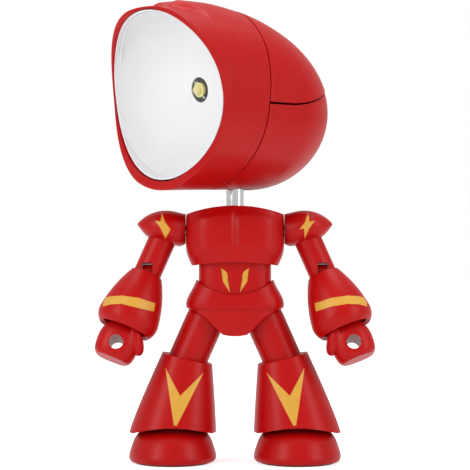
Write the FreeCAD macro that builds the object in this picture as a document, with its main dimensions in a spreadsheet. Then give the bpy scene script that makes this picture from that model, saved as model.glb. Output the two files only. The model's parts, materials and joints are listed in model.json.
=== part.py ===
import FreeCAD, Part
import math
import os
import Sketcher
from FreeCAD import Placement, Rotation, Vector

# Robot shaped desk lamp. Millimetres, +Z up, the robot faces -Y and stands on z = 0.
# Every piece is modelled about the neck axis and then set back by neck_back,
# so that the origin lies under the middle of the whole lamp.

doc = FreeCAD.newDocument("RobotLamp")

# Driving dimensions

DIMENSIONS = [
    # whole lamp
    ("neck_back", 7.0), ("wall", 2.0), ("run_clear", 0.05), ("loose_clear", 0.35), ("seat_gap", 0.1),
    # head, measured from the neck axis along the direction it faces
    ("head_yaw", 48.7), ("head_mid_z", 184.7), ("head_half_width", 43.6), ("head_flare", 1.7),
    ("head_tail", 51.7), ("head_wide_back", 9.4), ("head_top", 51.4), ("head_bottom", 40.8),
    ("head_top_start", 8.7), ("head_front", 64.0), ("crest_rise", 4.6), ("crest_width", 20.0),
    ("crest_front", 53.0), ("crest_back", -8.0), ("head_wall", 2.0),
    ("mouth_out", 55.8), ("mouth_z", 191.3), ("mouth_lean", 8.0), ("mouth_radius", 43.6),
    ("mouth_dip", 9.4), ("seam_out", 12.5), ("seam_z", 200.0), ("seam_lean", 8.0), ("seam_gap", 0.3),
    ("crown_z", 186.6), ("crown_rise", 8.0),
    ("bowl_wall", 0.8), ("bowl_depth", 31.6), ("bowl_straight", 9.0), ("lamp_hole", 6.6),
    ("lamp_board_radius", 8.6), ("lamp_board_thick", 1.6), ("lamp_dome_radius", 2.35),
    ("lamp_base_radius", 3.9), ("lamp_base_thick", 1.6),
    ("sink_radius", 10.5), ("sink_thick", 3.0), ("sink_fin_long", 6.0), ("sink_fin_thick", 1.2),
    ("lamp_screw_radius", 0.9),
    # tilt hinge in the head
    ("tilt_z", 152.0), ("tilt_down", 12.0), ("tilt_up", 20.0), ("tilt_pin_radius", 1.5),
    ("ear_thick", 1.2), ("ear_radius", 5.0),
    ("tilt_washer_thick", 0.3), ("tilt_washer_radius", 3.6), ("foot_plate_wide", 13.0),
    ("foot_plate_long", 12.0), ("foot_plate_thick", 1.5), ("foot_plate_low", 147.6),
    # neck
    ("neck_radius", 4.6), ("neck_bore", 2.6), ("neck_low", 119.0), ("neck_under_tilt", 5.7),
    ("knuckle_over_tilt", 5.0), ("lead_radius", 0.8), ("lead_back", 2.9),
    ("bush_radius", 7.5), ("bush_low", 125.0), ("bush_flange_radius", 10.0), ("bush_flange", 1.6),
    ("collar_radius", 6.4), ("collar_tall", 2.4), ("spring_washer", 0.35), ("nut_tall", 2.6),
    ("nut_flats", 6.0),
    # chest
    ("chest_half", 26.0), ("chest_low_half", 22.5), ("chest_front_deep", 19.5),
    ("chest_back_deep", 18.0), ("chest_low", 103.2), ("chest_arch", 2.7), ("chest_top", 135.4),
    ("chest_corner", 130.6), ("chest_flare", 11.1), ("chest_power", 3.2), ("boss_radius", 3.0),
    ("screw_radius", 1.25), ("screw_head_radius", 2.4), ("screw_head_tall", 1.6),
    # inside the chest
    ("board_y", 10.0), ("board_thick", 1.2), ("board_half", 13.0), ("board_low", 109.0),
    ("board_high", 129.0), ("switch_half", 3.0), ("switch_thick", 2.0), ("switch_z", 119.5),
    ("plunger_radius", 1.6), ("plunger_long", 0.8), ("button_radius", 4.5),
    ("button_flange_radius", 5.6), ("button_flange", 0.9), ("button_proud", 0.9),
    ("button_travel", 0.8), ("socket_half", 4.0), ("socket_tall", 3.0), ("socket_z", 110.8),
    ("socket_wall", 0.5),
    ("cell_half", 14.0), ("cell_thick", 6.6), ("cell_low", 110.0), ("cell_high", 130.0),
    ("cell_back", -8.0), ("pad_half", 10.0),
    # abdomen and pelvis
    ("waist_half", 19.1), ("waist_deep", 14.0), ("waist_low", 86.0), ("waist_power", 3.6),
    ("pelvis_side_z", 96.0), ("pelvis_dip_z", 88.7), ("pelvis_top_half", 20.0),
    ("pelvis_half", 25.8), ("pelvis_wide_z", 83.0), ("pelvis_deep", 16.5), ("crotch_z", 67.1),
    ("crotch_half", 6.5), ("pelvis_cavity", 5.0), ("pelvis_screw_z", 71.2),
    # legs
    ("hip_out", 16.0), ("hip_z", 74.5), ("hip_ball", 10.2), ("thigh_radius", 10.25),
    ("leg_lean", 24.0), ("thigh_long", 26.0), ("hip_axle_radius", 2.0), ("hip_axle_half", 14.0),
    ("hip_forward", 35.0), ("hip_backward", 25.0),
    ("boot_top_out", 25.3), ("boot_top_half", 12.7), ("boot_top_z", 54.8), ("boot_top_slope", 14.0),
    ("boot_low_out", 32.9), ("boot_low_half", 23.0), ("boot_low_z", 16.1), ("boot_low_deep", 24.5),
    ("boot_top_deep", 13.5), ("boot_arch", 3.7), ("boot_floor", 44.0), ("boot_power", 2.3),
    ("ankle_radius", 5.0), ("foot_out", 33.0), ("foot_half", 23.0), ("foot_long", 27.5),
    ("foot_top", 19.0), ("sole_thick", 1.8), ("sole_proud", 0.8), ("sole_inset", 3.0),
    # arms
    ("shoulder_out", 36.5), ("shoulder_z", 122.0), ("pad_gap", 0.3), ("pad_inner_half", 7.9),
    ("pad_tip_out", 51.4), ("pad_tip_z", 125.6), ("pad_top_z", 132.9), ("pad_deep", 12.6),
    ("arm_radius", 7.25), ("arm_lean", 23.5), ("arm_forward", 8.0), ("arm_long", 24.3),
    ("shoulder_axle_radius", 3.0), ("shoulder_axle_head", 4.2), ("shoulder_axle_in", 19.5),
    ("elbow_cup", 7.55), ("tongue_half", 2.5), ("tongue_radius", 4.4), ("elbow_pin_radius", 1.5),
    ("elbow_pin_half", 5.6), ("elbow_bend", 30.0), ("elbow_back", 8.0),
    ("forearm_lean", 21.5), ("forearm_forward", 16.0), ("gauntlet_start", 1.0),
    ("gauntlet_long", 33.0), ("gauntlet_top_radius", 8.4), ("gauntlet_radius", 16.3),
    ("gauntlet_wide_at", 25.5), ("gauntlet_recess", 9.5), ("gauntlet_rim", 2.6),
    ("wrist_peg_radius", 3.0), ("wrist_peg_in", 12.5), ("fist_at", 41.0),
    ("fist_half", 11.0), ("fist_deep", 10.2),
    ("fist_end", 50.0), ("grip_radius", 3.85), ("wrist_radius", 6.0),
]

sheet = doc.addObject("Spreadsheet::Sheet", "Sizes")
for row, (alias, value) in enumerate(DIMENSIONS, start=1):
    sheet.set("A%d" % row, alias)
    sheet.set("B%d" % row, str(value))
    sheet.setAlias("B%d" % row, alias)
doc.recompute()


class Sizes:
    """Reads a driving dimension from the sheet by its name."""

    def __getattr__(self, name):
        return float(sheet.get(name))


size = Sizes()
kept = []
neck_top = size.tilt_z - size.neck_under_tilt
knuckle_top = size.tilt_z + size.knuckle_over_tilt


# Shared makers

def keep(piece, label, placement):
    """Name a finished piece and set it in the lamp."""
    piece.Label = label
    piece.Placement = placement
    kept.append(piece)
    return piece


def made(label, shape, placement):
    """A piece whose shape comes from formula-driven sections."""
    piece = doc.addObject("Part::Feature", label)
    piece.Shape = shape
    return keep(piece, label, placement)


def origin_plane(body, role):
    return [item for item in body.Origin.OriginFeatures if item.Role == role][0]


def value_of(expression):
    return float(sheet.evalExpression(expression))


def outline(body, role, points):
    """A closed sketch through points whose coordinates are expressions of the sheet."""
    sketch = body.newObject("Sketcher::SketchObject", body.Name + "_outline")
    sketch.AttachmentSupport = [(origin_plane(body, role), "")]
    sketch.MapMode = "FlatFace"
    spots = [(value_of(across), value_of(up)) for across, up in points]
    count = len(spots)
    for index in range(count):
        start = Vector(*spots[index], 0)
        end = Vector(*spots[(index + 1) % count], 0)
        sketch.addGeometry(Part.LineSegment(start, end), False)
    for index in range(count):
        sketch.addConstraint(Sketcher.Constraint("Coincident", index, 2, (index + 1) % count, 1))
    for index, (across, up) in enumerate(points):
        for kind, spot, expression in (("DistanceX", spots[index][0], across),
                                       ("DistanceY", spots[index][1], up)):
            number = sketch.addConstraint(Sketcher.Constraint(kind, -1, 1, index, 1, spot))
            sketch.setExpression("Constraints[%d]" % number, expression)
    return sketch


def turned(label, points, placement):
    """A piece turned about its own Z axis from (radius, height) expressions."""
    body = doc.addObject("PartDesign::Body", label)
    sketch = outline(body, "XZ_Plane", points)
    turn = body.newObject("PartDesign::Revolution", label + "_turn")
    turn.Profile = sketch
    turn.ReferenceAxis = (sketch, ["V_Axis"])
    turn.Angle = 360
    return keep(body, label, placement)


def pin(label, radius, low, high, placement):
    """A plain round pin along its own Z axis, from low to high."""
    return turned(label, [("0", low), (radius, low), (radius, high), ("0", high)], placement)


def plate(label, role, points, thickness, placement, midplane=False):
    """A flat piece padded from an outline on one of its origin planes."""
    body = doc.addObject("PartDesign::Body", label)
    sketch = outline(body, role, points)
    pad = body.newObject("PartDesign::Pad", label + "_pad")
    pad.Profile = sketch
    pad.setExpression("Length", thickness)
    pad.Midplane = midplane
    return keep(body, label, placement)


def rectangle(low_x, low_y, high_x, high_y):
    return [(low_x, low_y), (high_x, low_y), (high_x, high_y), (low_x, high_y)]


def curve_ring(centre, across, up, right, left, top, bottom, power, lift=None, top_power=None, count=24):
    """A closed smooth ring: four quarters of a superellipse about a centre."""
    spots = []
    for index in range(count):
        angle = 2 * math.pi * index / count
        sine, cosine = math.sin(angle), math.cos(angle)
        wide = right if cosine > 0 else left
        tall = top if sine > 0 else bottom
        bend = (top_power or power) if sine > 0 else power
        side = math.copysign(abs(cosine) ** (2 / bend), cosine) * wide
        rise = math.copysign(abs(sine) ** (2 / bend), sine) * tall
        if lift:
            rise += lift(side, rise)
        spots.append(centre + across * side + up * rise)
    curve = Part.BSplineCurve()
    curve.interpolate(Points=spots, PeriodicFlag=True,
                      Parameters=[float(index) for index in range(count + 1)])
    return Part.Wire([curve.toShape()])


X, Y, Z = Vector(1, 0, 0), Vector(0, 1, 0), Vector(0, 0, 1)


def level_ring(out, back, height, half, front, rear, power, outer_half=None):
    """A level ring about (out, back), with its front towards -Y."""
    return curve_ring(Vector(out, back, height), X, Y, outer_half or half, half, rear, front, power)


def loft(rings):
    return Part.makeLoft(rings, True, False)


def prism(points, depth, direction=Y):
    """A straight prism, twice depth long, through points and arcs of an outline."""
    edges = []
    here = points[0]
    rest = points[1:] + [points[0]]
    for item in rest:
        if isinstance(item, tuple):
            middle, there = item
            edges.append(Part.Arc(here, middle, there).toShape())
        else:
            there = item
            edges.append(Part.LineSegment(here, there).toShape())
        here = there
    face = Part.Face(Part.Wire(edges))
    face.translate(direction * -depth)
    return face.extrude(direction * (2 * depth))


def rod(radius, start, end):
    """A straight round solid between two points."""
    run = end - start
    return Part.makeCylinder(radius, run.Length, start, run)


def block(low, high):
    return Part.makeBox(high.x - low.x, high.y - low.y, high.z - low.z, low)


SET_BACK = Placement(Vector(0, size.neck_back, 0), Rotation())
HEAD_TURN = Placement(Vector(0, size.neck_back, 0), Rotation(Z, -90 - size.head_yaw))
BIG = 200.0


# Head. Its own frame has X forward out of the mouth, Y to the near side and Z up.

def head_half(forward):
    """Half width of the head at a distance forward of the neck axis."""
    behind = -size.head_wide_back - forward
    if behind > 0:
        share = behind / (size.head_tail - size.head_wide_back)
        return size.head_half_width * max(0.0, 1 - share ** 1.92) ** (1 / 1.92)
    reach = -behind / (size.head_front + size.head_wide_back)
    return size.head_half_width + size.head_flare * reach ** 2


def head_top_height(forward):
    behind = size.head_top_start - forward
    if behind <= 0:
        return size.head_top
    share = behind / (size.head_tail + size.head_top_start)
    return size.head_top * max(0.0, 1 - share ** 1.78) ** (1 / 1.78)


def crest_lift(forward):
    """The raised brow along the top of the head."""
    length = size.crest_front - size.crest_back
    share = (forward - size.crest_back) / length
    swell = math.sin(math.pi * min(1.0, max(0.0, share))) ** 0.8 * size.crest_rise

    def lift(side, rise):
        if rise <= 0:
            return 0.0
        return swell * math.exp(-(side / size.crest_width) ** 4)

    return lift


def head_ring(forward, inset):
    half = head_half(forward) - inset
    top = head_top_height(forward) - inset
    bottom = head_half(forward) * size.head_bottom / size.head_half_width - inset
    centre = Vector(forward, 0, size.head_mid_z)
    squareness = 2.0 + 0.38 * min(1.0, max(0.0, (forward + 15.0) / 45.0))
    return curve_ring(centre, Y, Z, half, half, top, bottom, 2.0, crest_lift(forward), squareness)


def head_solid(inset):
    """The whole head without its mouth, drawn in by inset on every side."""
    steps = [88, 80, 70, 60, 50, 40, 30, 20, 10, 0]
    reach = size.head_tail - size.head_wide_back
    places = [-size.head_wide_back - (reach - inset) * math.sin(math.radians(step)) for step in steps]
    places += [0.0, 9.0, 18.0, 27.0, 36.0, 45.0, 52.0, 58.0, size.head_front]
    rings = []
    for place in places:
        if head_half(place) - inset > 0.8:
            rings.append(head_ring(place, inset))
    return loft(rings)


MOUTH_OUT = Vector(math.cos(math.radians(size.mouth_lean)), 0, -math.sin(math.radians(size.mouth_lean)))
MOUTH = Vector(size.mouth_out, 0, size.mouth_z)


def mouth_cutter(draw_back):
    """Everything in front of the mouth's edge, which dips back at the sides."""
    lean = math.tan(math.radians(size.mouth_lean))
    reach = size.mouth_radius
    low = Vector(size.mouth_out - reach * lean - draw_back, 0, size.mouth_z - reach)
    middle = Vector(size.mouth_out - size.mouth_dip - draw_back, 0, size.mouth_z)
    high = Vector(size.mouth_out + reach * lean - draw_back, 0, size.mouth_z + reach)
    over = 8.0
    low_end = low + Vector(-1.2, 0, -over)
    high_end = high + Vector(4.0, 0, over)
    far = BIG
    points = [low_end, low, (middle, high), high_end, Vector(far, 0, high_end.z),
              Vector(far, 0, low_end.z)]
    return prism(points, BIG)


def seam_side(front, gap):
    """The half of space in front of, or behind, the leaning seam round the head."""
    slope = math.tan(math.radians(size.seam_lean))
    low_z, high_z = size.seam_z - BIG, size.seam_z + BIG
    shift = gap if front else 0.0
    low = Vector(size.seam_out + (size.seam_z - low_z) * slope + shift, 0, low_z)
    high = Vector(size.seam_out + (size.seam_z - high_z) * slope + shift, 0, high_z)
    far = BIG if front else -BIG
    return prism([low, high, Vector(far, 0, high_z), Vector(far, 0, low_z)], BIG)


def crown_side():
    """The space above the parting line that climbs round the back of the head."""
    start = Vector(BIG / 4, 0, size.crown_z)
    flat_end = Vector(0, 0, size.crown_z)
    middle = Vector(-16, 0, size.crown_z + size.crown_rise * 0.22)
    end = Vector(-32, 0, size.crown_z + size.crown_rise)
    last = Vector(-size.head_tail - 8, 0, size.crown_z + size.crown_rise * 3.1)
    return prism([start, flat_end, (middle, end), last, Vector(last.x, 0, BIG * 2),
                  Vector(start.x, 0, BIG * 2)], BIG)


head_outside = head_solid(0.0)
head_inside = head_solid(size.head_wall)
mouth_axis_start = MOUTH - MOUTH_OUT * (size.bowl_straight + 3)
mouth_bore = rod(size.mouth_radius, mouth_axis_start, MOUTH + MOUTH_OUT * 30)
cavity_front = MOUTH - MOUTH_OUT * (size.bowl_straight + 2)
cavity_limit = rod(BIG, cavity_front, cavity_front - MOUTH_OUT * BIG)
head_shell = head_outside.cut(head_inside.common(cavity_limit)).cut(mouth_bore).cut(mouth_cutter(0.0))

front_shell = head_shell.common(seam_side(True, size.seam_gap))
made("head_front_shell", front_shell, HEAD_TURN)

rear = head_shell.common(seam_side(False, 0.0))
slot_forward = (size.tilt_z - 144) * math.tan(math.radians(size.tilt_up)) + size.neck_radius + 1.2
slot_back = (size.tilt_z - 144) * math.tan(math.radians(size.tilt_down)) + size.neck_radius + 2.0
slot_half = size.neck_radius + 0.8
neck_slot = block(Vector(-slot_back, -slot_half, 130), Vector(slot_forward, slot_half, size.tilt_z))
crown = rear.common(crown_side())
lower_rear = rear.cut(crown_side()).cut(neck_slot)


floor_seat = []
for side in (-1, 1):
    low = Vector(-size.foot_plate_long, min(side * slot_half, side * size.foot_plate_wide), 140)
    high = Vector(size.foot_plate_long, max(side * slot_half, side * size.foot_plate_wide),
                  size.foot_plate_low)
    floor_seat.append(block(low, high).common(head_outside))
lower_rear = lower_rear.fuse(floor_seat)
foot_room = Vector(size.foot_plate_long + size.seat_gap, size.foot_plate_wide + size.seat_gap, 0)
lower_rear = lower_rear.cut(block(Vector(-foot_room.x, -foot_room.y, size.foot_plate_low),
                                  Vector(foot_room.x, foot_room.y,
                                         size.foot_plate_low + size.foot_plate_thick)))
foot_screw_spots = [(along, side * 9.5) for along in (-8, 8) for side in (-1, 1)]
for along, across in foot_screw_spots:
    lower_rear = lower_rear.cut(rod(size.lamp_screw_radius, Vector(along, across, 145),
                                    Vector(along, across, 150)))
made("head_crown", crown, HEAD_TURN)
made("head_rear_shell", lower_rear, HEAD_TURN)


# Reflector bowl, turned about the mouth's axis. Its own Z runs out of the mouth.

BOWL_SET = Placement(MOUTH, Rotation(Z, MOUTH_OUT))


def bowl_profile(offset):
    """Outline of the bowl's surface from rim to lamp hole, moved out by offset."""
    rim = size.mouth_radius - size.seat_gap - size.bowl_wall + offset
    start = Vector(rim, 0, 12)
    bend = Vector(rim, 0, -size.bowl_straight)
    middle = Vector(31.5 + offset * 0.7, 0, -size.bowl_depth * 0.76 - offset * 0.7)
    end = Vector(size.lamp_hole, 0, -size.bowl_depth - offset)
    return start, bend, middle, end


start, bend, middle, end = bowl_profile(0.0)
start_out, bend_out, middle_out, end_out = bowl_profile(size.bowl_wall)
bowl_face = Part.Face(Part.Wire([
    Part.LineSegment(start, bend).toShape(), Part.Arc(bend, middle, end).toShape(),
    Part.LineSegment(end, end_out).toShape(), Part.Arc(end_out, middle_out, bend_out).toShape(),
    Part.LineSegment(bend_out, start_out).toShape(), Part.LineSegment(start_out, start).toShape()]))
bowl = bowl_face.revolve(Vector(), Z, 360)
board_seat = Part.makeCylinder(size.lamp_board_radius + size.seat_gap, size.lamp_board_thick,
                               Vector(0, 0, -size.bowl_depth - size.bowl_wall), Z * -1)
bowl = bowl.cut(board_seat)
bowl.Placement = BOWL_SET
made("reflector", bowl.cut(mouth_cutter(0.4)), HEAD_TURN)

# Lamp unit behind the bowl, on the same axis. Heights are depths behind the mouth.

LAMP_SET = HEAD_TURN.multiply(BOWL_SET)
bowl_back = "-Sizes.bowl_depth - Sizes.bowl_wall"
board_back = bowl_back + " - Sizes.lamp_board_thick"
sink_back = board_back + " - Sizes.sink_thick"
pin("lamp_board", "Sizes.lamp_board_radius", board_back, bowl_back, LAMP_SET)
turned("lamp_emitter", [
    ("0", bowl_back), ("Sizes.lamp_base_radius", bowl_back),
    ("Sizes.lamp_base_radius", bowl_back + " + Sizes.lamp_base_thick"),
    ("Sizes.lamp_dome_radius", bowl_back + " + Sizes.lamp_base_thick"),
    ("Sizes.lamp_dome_radius", bowl_back + " + Sizes.lamp_base_thick + Sizes.lamp_dome_radius * 0.5"),
    ("Sizes.lamp_dome_radius * 0.75", bowl_back + " + Sizes.lamp_base_thick + Sizes.lamp_dome_radius"),
    ("0", bowl_back + " + Sizes.lamp_base_thick + Sizes.lamp_dome_radius * 1.25")], LAMP_SET)

sink = doc.addObject("Part::MultiFuse", "heat_sink")
sink_disc = doc.addObject("Part::Cylinder", "sink_disc")
sink_disc.setExpression("Radius", "Sizes.sink_radius")
sink_disc.setExpression("Height", "Sizes.sink_thick")
sink_disc.setExpression("Placement.Base.z", sink_back)
fins = [sink_disc]
for step in range(-2, 3):
    fin = doc.addObject("Part::Box", "sink_fin")
    fin.setExpression("Length", "Sizes.sink_radius * %s" % (1.9 - 0.45 * abs(step)))
    fin.setExpression("Width", "Sizes.sink_fin_thick")
    fin.setExpression("Height", "Sizes.sink_fin_long")
    fin.setExpression("Placement.Base.x", "-Sizes.sink_radius * %s" % (0.95 - 0.225 * abs(step)))
    fin.setExpression("Placement.Base.y",
                      "%d * Sizes.sink_radius * 0.38 - Sizes.sink_fin_thick / 2" % step)
    fin.setExpression("Placement.Base.z", sink_back + " - Sizes.sink_fin_long")
    fins.append(fin)
sink.Shapes = fins
keep(sink, "heat_sink", LAMP_SET)


# Tilt bracket: a channel whose feet stand beside the slot and whose ears hold the pin.

ear_in = size.neck_radius + size.tilt_washer_thick + 2 * size.run_clear
ear_out = ear_in + size.ear_thick
bracket_parts = []
for side in (-1, 1):
    foot_low = Vector(-size.foot_plate_long, min(side * ear_in, side * size.foot_plate_wide),
                      size.foot_plate_low)
    foot_high = Vector(size.foot_plate_long, max(side * ear_in, side * size.foot_plate_wide),
                       size.foot_plate_low + size.foot_plate_thick)
    bracket_parts.append(block(foot_low, foot_high))
    ear_low = Vector(-size.ear_radius, min(side * ear_in, side * ear_out), size.foot_plate_low)
    ear_high = Vector(size.ear_radius, max(side * ear_in, side * ear_out), size.tilt_z)
    bracket_parts.append(block(ear_low, ear_high))
    ear_start = Vector(0, side * ear_in, size.tilt_z)
    bracket_parts.append(rod(size.ear_radius, ear_start, ear_start + Y * (side * size.ear_thick)))
bracket = bracket_parts[0].fuse(bracket_parts[1:]).removeSplitter()
bracket = bracket.cut(block(Vector(-BIG, -BIG, 0), Vector(BIG, BIG, size.foot_plate_low)))
bracket = bracket.cut(rod(size.tilt_pin_radius, Vector(0, -BIG, size.tilt_z),
                          Vector(0, BIG, size.tilt_z)))
bracket_bar = block(Vector(-size.ear_radius, -ear_in, knuckle_top + 1.5),
                    Vector(size.ear_radius, ear_in, knuckle_top + 3.0))
bracket_sides = []
for side in (-1, 1):
    low = Vector(-size.ear_radius, min(side * ear_in, side * ear_out), size.tilt_z)
    high = Vector(size.ear_radius, max(side * ear_in, side * ear_out), knuckle_top + 3.0)
    bracket_sides.append(block(low, high))
bracket = bracket.fuse(bracket_sides + [bracket_bar]).removeSplitter()
bracket = bracket.cut(rod(size.tilt_pin_radius, Vector(0, -BIG, size.tilt_z),
                          Vector(0, BIG, size.tilt_z)))
lead_hole_end = Vector(-size.lead_back, 0, BIG)
bracket = bracket.cut(rod(size.lead_radius + size.loose_clear, Vector(-size.lead_back, 0, 155),
                          lead_hole_end))
for along, across in foot_screw_spots:
    bracket = bracket.cut(rod(size.lamp_screw_radius, Vector(along, across, 140),
                              Vector(along, across, 160)))
made("tilt_bracket", bracket, HEAD_TURN)

HINGE = HEAD_TURN.multiply(Placement(Vector(0, 0, size.tilt_z), Rotation(X, -90)))
ear_reach = "(Sizes.neck_radius + Sizes.tilt_washer_thick + 2 * Sizes.run_clear + Sizes.ear_thick)"
pin("tilt_pin", "Sizes.tilt_pin_radius", "-" + ear_reach + " - 0.6", ear_reach + " + 0.6", HINGE)
washers = []
for side in (-1, 1):
    seat = side * (size.neck_radius + size.run_clear + size.tilt_washer_thick / 2)
    disc = Part.makeCylinder(size.tilt_washer_radius, size.tilt_washer_thick,
                             Vector(0, seat - size.tilt_washer_thick / 2, size.tilt_z), Y)
    hole = rod(size.tilt_pin_radius, Vector(0, -BIG, size.tilt_z), Vector(0, BIG, size.tilt_z))
    washers.append(disc.cut(hole))
made("tilt_washers", Part.makeCompound(washers), HEAD_TURN)


def round_screws(spots, direction, shank, head, head_tall, length):
    """Screws as separate solids: each head stands on its seat and the shank runs the other way."""
    screws = []
    for spot in spots:
        stem = Part.makeCylinder(shank, length, spot, direction * -1)
        top = Part.makeCylinder(head, head_tall, spot, direction)
        screws.append(stem.fuse(top).removeSplitter())
    return Part.makeCompound(screws)


bracket_screw_spots = [Vector(along, across, size.foot_plate_low + size.foot_plate_thick)
                       for along, across in foot_screw_spots]
made("bracket_screws", round_screws(bracket_screw_spots, Z, size.lamp_screw_radius, 1.8, 1.2, 3.2),
     HEAD_TURN)


def wire_path(points, reach):
    """Straight runs joined by tangent arcs, reach from each corner."""
    edges = []
    here = points[0]
    for index in range(1, len(points) - 1):
        corner = points[index]
        back = (points[index - 1] - corner).normalize()
        ahead = (points[index + 1] - corner).normalize()
        start = corner + back * reach
        end = corner + ahead * reach
        half_turn = math.acos(max(-1.0, min(1.0, back.dot(ahead)))) / 2
        radius = reach * math.tan(half_turn)
        bisector = (back + ahead).normalize()
        middle = corner + bisector * (radius / math.sin(half_turn) - radius)
        edges.append(Part.LineSegment(here, start).toShape())
        edges.append(Part.Arc(start, middle, end).toShape())
        here = end
    edges.append(Part.LineSegment(here, points[-1]).toShape())
    return Part.Wire(edges)


def cable(points, radius, reach):
    path = wire_path(points, reach)
    run = points[1] - points[0]
    profile = Part.Wire([Part.makeCircle(radius, points[0], run)])
    return path.makePipeShell([profile], True, False)


lamp_centre = MOUTH - MOUTH_OUT * (size.bowl_depth + size.bowl_wall + size.lamp_board_thick)
lamp_down = Vector(MOUTH_OUT.z, 0, -MOUTH_OUT.x)
sink_edge = lamp_centre - MOUTH_OUT * (size.sink_thick / 2) + lamp_down * (size.sink_radius + 0.3)
lead_points = [
    Vector(-size.lead_back, 0, knuckle_top + 1.7),
    Vector(-size.lead_back, 0, knuckle_top + 13.0),
    sink_edge + lamp_down * 7.5 - MOUTH_OUT * 0.5,
    sink_edge,
]
made("head_lead", cable(lead_points, size.lead_radius, 3.0), HEAD_TURN)

# Neck: a turned tube in a bush, with a knuckle for the tilt pin. All of it swivels.

NECK = HEAD_TURN
turned("neck_tube", rectangle("Sizes.neck_bore", "Sizes.neck_low", "Sizes.neck_radius",
                              "Sizes.tilt_z - Sizes.neck_under_tilt"), NECK)
knuckle = Part.makeCylinder(size.neck_radius, knuckle_top - neck_top, Vector(0, 0, neck_top))
cross = rod(size.tilt_pin_radius + size.run_clear, Vector(0, -BIG, size.tilt_z),
            Vector(0, BIG, size.tilt_z))
lead_way = rod(size.lead_radius + size.run_clear, Vector(-size.lead_back, 0, 100),
               Vector(-size.lead_back, 0, BIG))
knuckle = knuckle.cut(cross).cut(lead_way)
made("neck_knuckle", knuckle, NECK)
neck_lead = rod(size.lead_radius, Vector(-size.lead_back + 1.2, 0, size.neck_low - 4),
                Vector(-size.lead_back + 1.2, 0, neck_top - 0.3))
made("neck_lead", neck_lead, NECK)
bush_under = "Sizes.bush_low"
turned("neck_spring_washer", rectangle("Sizes.neck_radius", bush_under + " - Sizes.spring_washer",
       "Sizes.collar_radius", bush_under + " - Sizes.run_clear"), NECK)
collar_top = bush_under + " - Sizes.spring_washer"
turned("neck_collar",
       rectangle("Sizes.neck_radius", collar_top + " - Sizes.collar_tall", "Sizes.collar_radius",
                 collar_top), NECK)
nut_top = size.bush_low - size.spring_washer - size.collar_tall
nut_angles = [math.radians(60 * turn) for turn in range(7)]
nut_corners = [Vector(math.cos(angle), math.sin(angle), 0) for angle in nut_angles]
nut_wire = Part.makePolygon([corner * (size.nut_flats / math.cos(math.pi / 6)) for corner in nut_corners])
nut = Part.Face(nut_wire).extrude(Z * size.nut_tall)
nut.translate(Z * (nut_top - size.nut_tall))
made("neck_nut", nut.cut(rod(size.neck_radius, Vector(0, 0, 0), Vector(0, 0, BIG))), NECK)
bush_top = "(Sizes.chest_top - Sizes.wall - 0.75)"
turned("neck_bush", [
    ("Sizes.neck_radius + Sizes.run_clear", "Sizes.bush_low"), ("Sizes.bush_radius", "Sizes.bush_low"),
    ("Sizes.bush_radius", bush_top + " - Sizes.bush_flange"),
    ("Sizes.bush_flange_radius", bush_top + " - Sizes.bush_flange"),
    ("Sizes.bush_flange_radius", bush_top), ("Sizes.neck_radius + Sizes.run_clear", bush_top)], SET_BACK)

# Chest: two shells with an arched top and an arched lower edge.


def arch(half, edge_z, middle_z, far_z):
    """Outline between an arched line and a level far line."""
    over = half * 1.3
    drop = (middle_z - edge_z) * (over / half) ** 2
    return [Vector(-over, 0, middle_z - drop), (Vector(0, 0, middle_z), Vector(over, 0, middle_z - drop)),
            Vector(over, 0, far_z), Vector(-over, 0, far_z)]


def chest_half_at(height):
    share = min(1.0, max(0.0, (height - size.chest_low) / size.chest_flare))
    return size.chest_low_half + (size.chest_half - size.chest_low_half) * math.sin(share * math.pi / 2)


def chest_solid(inset):
    widest = size.chest_low + size.chest_flare
    highest = size.chest_top + 2.6
    heights = [size.chest_low - 5.2]
    heights += [size.chest_low + size.chest_flare * part for part in (0.0, 0.3, 0.61, 1.0)]
    heights += [widest + (highest - widest) * part for part in (0.24, 0.49, 0.75, 1.0)]
    rings = []
    for height in heights:
        share = min(1.0, (highest - height) / 14)
        round_in = 2.4 * (1 - share) ** 2
        tuck = max(0.0, (widest - height) / size.chest_flare) ** 2
        half = chest_half_at(height) - inset - round_in * 0.4
        front = size.chest_front_deep - inset - round_in * 2.2 - 2.5 * tuck
        rear = size.chest_back_deep - inset - round_in * 1.6 - 1.5 * tuck
        rings.append(level_ring(0, 0, height, half, front, rear, size.chest_power))
    body = loft(rings)
    above = prism(arch(size.chest_half, size.chest_corner - inset, size.chest_top - inset, BIG), BIG)
    below = prism(arch(size.chest_half, size.chest_low + inset, size.chest_low + size.chest_arch + inset,
                       -BIG), BIG)
    return body.cut(above).cut(below)


chest_outside = chest_solid(0.0)
chest_inside = chest_solid(size.wall)
chest = chest_outside.cut(chest_inside)
torso_screw_spots = [(side * across, height) for side in (-1, 1)
                     for across, height in ((17.5, 110.5), (20.0, 129.6))]
for across, height in torso_screw_spots:
    post = rod(size.boss_radius, Vector(across, -BIG, height),
               Vector(across, BIG, height)).common(chest_inside)
    chest = chest.fuse(post)
chest = chest.removeSplitter()
for across, height in torso_screw_spots:
    chest = chest.cut(rod(size.screw_radius, Vector(across, -6, height), Vector(across, BIG, height)))
    chest = chest.cut(rod(size.screw_head_radius, Vector(across, 11.4, height),
                          Vector(across, BIG, height)))
chest = chest.cut(rod(size.neck_radius + size.loose_clear, Vector(0, 0, 125), Vector(0, 0, BIG)))
shoulder_bore = size.shoulder_axle_radius + size.run_clear
chest = chest.cut(rod(shoulder_bore, Vector(-BIG, 0, size.shoulder_z), Vector(BIG, 0, size.shoulder_z)))
lead_port = rod(3.0, Vector(0, 0, 98), Vector(0, 0, 108))
chest = chest.cut(lead_port)
button_bore = rod(size.button_radius + size.run_clear, Vector(0, size.board_y, size.switch_z),
                  Vector(0, BIG, size.switch_z))
socket_clear = size.socket_half + size.seat_gap
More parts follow.
